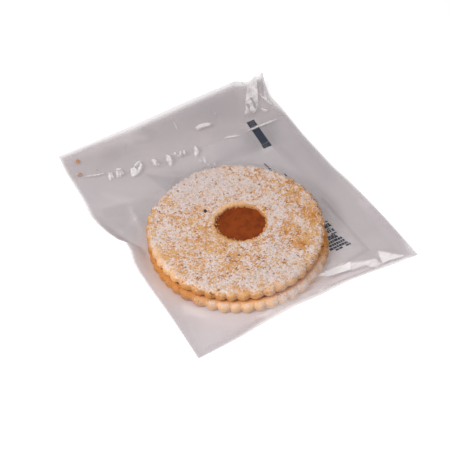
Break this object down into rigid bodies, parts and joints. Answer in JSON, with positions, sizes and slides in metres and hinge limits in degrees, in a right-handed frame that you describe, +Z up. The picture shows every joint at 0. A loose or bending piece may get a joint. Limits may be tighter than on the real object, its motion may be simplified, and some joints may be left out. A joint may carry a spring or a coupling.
{
  "type": "linzer cookie in a sealed clear film bag",
  "caption": "Round fluted sandwich cookie with a jam-filled hole, lying flat in a thin clear film bag with a folded, stuck-down flap",
  "frame": {"origin": "middle of the bag's footprint, on the surface that it lies on", "axes": "+X along the bag's length from the folded flap to the closed end, +Y across the bag, away from the side that the cookie lies nearer to, +Z up"},
  "size_m": [0.1591, 0.1297, 0.0126],
  "materials": {
    "clear_film": "clear, slightly milky glossy film",
    "shortbread": "pale golden baked shortbread, stands in for food",
    "icing_sugar": "matt white powder",
    "jam": "set orange-brown jam, faint gloss",
    "print_white": "white ink on film",
    "print_blue": "dark blue ink on film"
  },
  "bodies": {
    "root": {"sealed_bag": "clear_film"}
  },
  "joints": []
}
